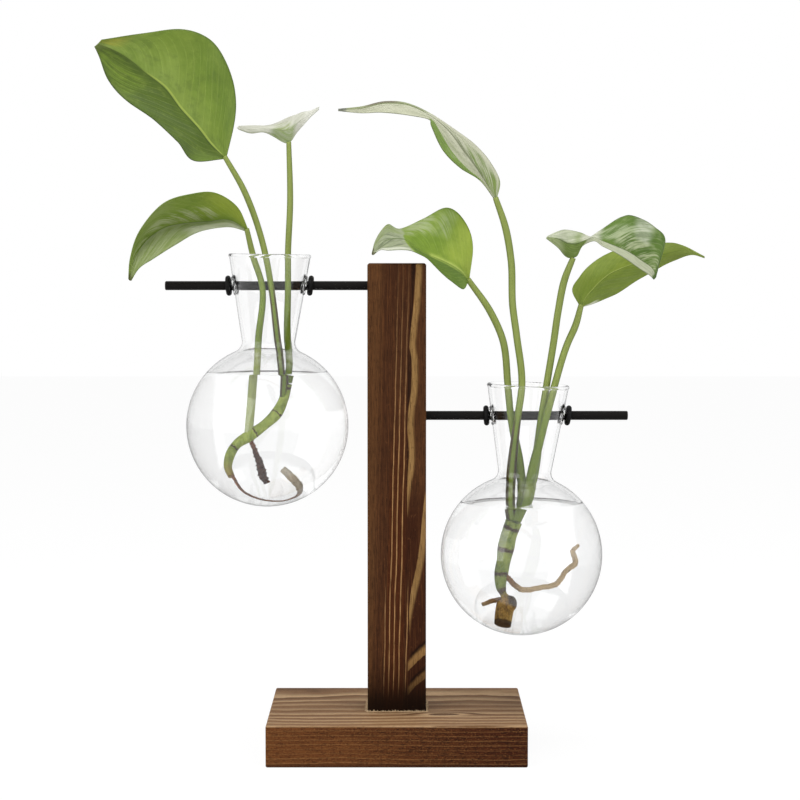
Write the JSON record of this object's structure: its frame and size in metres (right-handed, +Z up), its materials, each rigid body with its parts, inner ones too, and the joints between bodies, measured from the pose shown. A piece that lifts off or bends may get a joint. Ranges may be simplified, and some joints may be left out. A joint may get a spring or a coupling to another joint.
{
  "type": "propagation vase",
  "caption": "Tabletop propagation stand: wooden base and post with side rods, each carrying a hanging round glass bulb with flared neck, rubber rings and a leafy cutting.",
  "frame": {"origin": "centre of the base's underside, on the table", "axes": "+Z up along the post, +X along the lower rod, -Y is the front"},
  "size_m": [0.2671, 0.088, 0.3273],
  "materials": {
    "base_wood": "brushed stained hardwood, open grain",
    "post_wood": "dark stained hardwood",
    "screw_steel": "plated",
    "rod_black": "satin black",
    "ring_rubber": "matt",
    "clear_glass": "clear blown glass",
    "leaf_green": "waxy leaf",
    "leaf_pale": "pale variegated leaf",
    "petiole_green": "smooth stalk",
    "vine_green": "ringed stem",
    "root_tan": "wet root"
  },
  "bodies": {
    "stand": {"base_block": "base_wood", "upright_post": "post_wood", "post_screws": "screw_steel", "upper_rod": "rod_black", "lower_rod": "rod_black"},
    "left_carrier": {"left_inner_ring": "ring_rubber"},
    "left_vessel": {"left_bulb": "clear_glass", "left_vine": "vine_green", "left_petioles": "petiole_green", "left_roots": "root_tan", "left_large_leaf": "leaf_green", "left_drooping_leaf": "leaf_green", "left_young_leaf": "leaf_pale"},
    "left_keeper": {"left_outer_ring": "ring_rubber"},
    "right_carrier": {"right_inner_ring": "ring_rubber"},
    "right_vessel": {"right_bulb": "clear_glass", "right_vine": "vine_green", "right_petioles": "petiole_green", "right_roots": "root_tan", "right_long_leaf": "leaf_pale", "right_arched_leaf": "leaf_green", "right_curled_leaf": "leaf_green", "right_rear_leaf": "leaf_green"},
    "right_keeper": {"right_outer_ring": "ring_rubber"}
  },
  "joints": [
    {"name": "left_bulb_slide", "type": "slide", "parent": "stand", "child": "left_carrier", "axis": [-1, 0, 0], "range_m": [-0.005, 0.022]},
    {"name": "left_bulb_swing", "type": "hinge", "parent": "left_carrier", "child": "left_vessel", "pos_m": [-0.056, 0, 0.2048], "axis": [1, 0, 0], "range_deg": [-45, 45]},
    {"name": "left_ring_slide", "type": "slide", "parent": "left_carrier", "child": "left_keeper", "axis": [-1, 0, 0], "range_m": [0, 0.032]},
    {"name": "right_bulb_slide", "type": "slide", "parent": "stand", "child": "right_carrier", "axis": [1, 0, 0], "range_m": [-0.003, 0.02]},
    {"name": "right_bulb_swing", "type": "hinge", "parent": "right_carrier", "child": "right_vessel", "pos_m": [0.0574, 0, 0.1476], "axis": [1, 0, 0], "range_deg": [-45, 45]},
    {"name": "right_ring_slide", "type": "slide", "parent": "right_carrier", "child": "right_keeper", "axis": [1, 0, 0], "range_m": [0, 0.03]}
  ]
}
